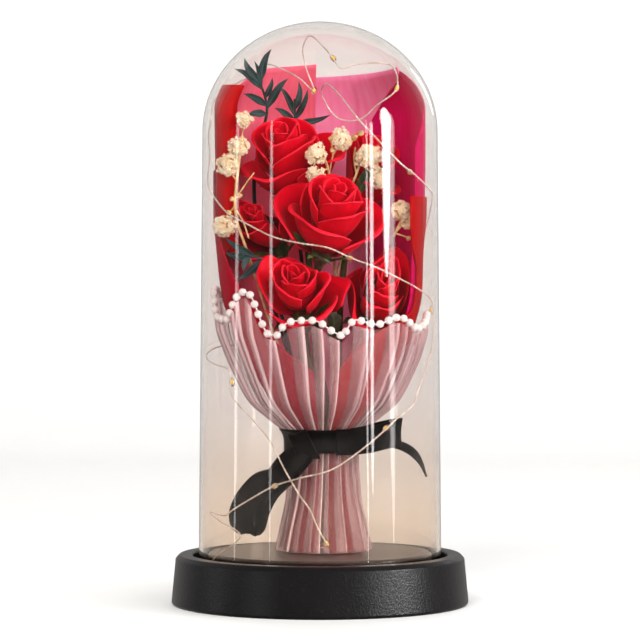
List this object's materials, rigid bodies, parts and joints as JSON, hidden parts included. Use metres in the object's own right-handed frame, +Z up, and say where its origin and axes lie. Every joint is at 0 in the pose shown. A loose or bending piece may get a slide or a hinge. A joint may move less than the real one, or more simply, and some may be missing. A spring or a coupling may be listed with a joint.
{
  "type": "preserved rose bouquet in a glass dome",
  "caption": "Tied bouquet of preserved roses wrapped in film paper and pleated net, with a thin light wire, under a clear dome on a round base.",
  "frame": {"origin": "centre of the base's underside, on the surface that it stands on", "axes": "+Z up, the bouquet's front towards -Y, +X to the right as seen from the front"},
  "size_m": [0.115, 0.115, 0.225],
  "materials": {
    "black_plastic": "satin",
    "glass": "clear",
    "salmon_paper": "film",
    "pink_paper": "film",
    "magenta_paper": "film",
    "red_paper": "film",
    "crimson_paper": "film",
    "tulle": "net",
    "pearl": "pearl",
    "ribbon": "ribbed",
    "wire": "varnished",
    "light_drop": "clear",
    "petal": "velvet",
    "stem": "matt",
    "leaf": "matt",
    "foliage": "matt",
    "gypsophila": "dried"
  },
  "bodies": {
    "root": {"base": "black_plastic", "base_cover": "black_plastic", "foliage_1": "foliage", "foliage_2": "foliage", "foliage_3": "foliage", "glass_dome": "glass", "gypsophila_centre": "gypsophila", "gypsophila_far_right": "gypsophila", "gypsophila_left": "gypsophila", "gypsophila_right": "gypsophila", "light_wire": "wire", "paper_back_left": "salmon_paper", "paper_back_right": "pink_paper", "paper_front_left": "crimson_paper", "paper_front_right": "red_paper", "paper_roll_left": "red_paper", "paper_side_right": "magenta_paper", "pearl_string": "pearl", "ribbon": "ribbon", "rose_back_right_heart": "petal", "rose_back_right_petal_1": "petal", "rose_back_right_petal_2": "petal", "rose_back_right_petal_3": "petal", "rose_back_right_stem": "stem", "rose_centre_heart": "petal", "rose_centre_petal_1": "petal", "rose_centre_petal_2": "petal", "rose_centre_petal_3": "petal", "rose_centre_petal_4": "petal", "rose_centre_petal_5": "petal", "rose_centre_stem": "stem", "rose_far_left_heart": "petal", "rose_far_left_petal_1": "petal", "rose_far_left_petal_2": "petal", "rose_far_left_petal_3": "petal", "rose_far_left_stem": "stem", "rose_leaf_1": "leaf", "rose_leaf_2": "leaf", "rose_leaf_3": "leaf", "rose_lower_left_heart": "petal", "rose_lower_left_petal_1": "petal", "rose_lower_left_petal_2": "petal", "rose_lower_left_petal_3": "petal", "rose_lower_left_petal_4": "petal", "rose_lower_left_stem": "stem", "rose_lower_right_heart": "petal", "rose_lower_right_petal_1": "petal", "rose_lower_right_petal_2": "petal", "rose_lower_right_petal_3": "petal", "rose_lower_right_petal_4": "petal", "rose_lower_right_stem": "stem", "rose_upper_left_heart": "petal", "rose_upper_left_petal_1": "petal", "rose_upper_left_petal_2": "petal", "rose_upper_left_petal_3": "petal", "rose_upper_left_petal_4": "petal", "rose_upper_left_stem": "stem", "tulle_wrap": "tulle"}
  },
  "joints": []
}
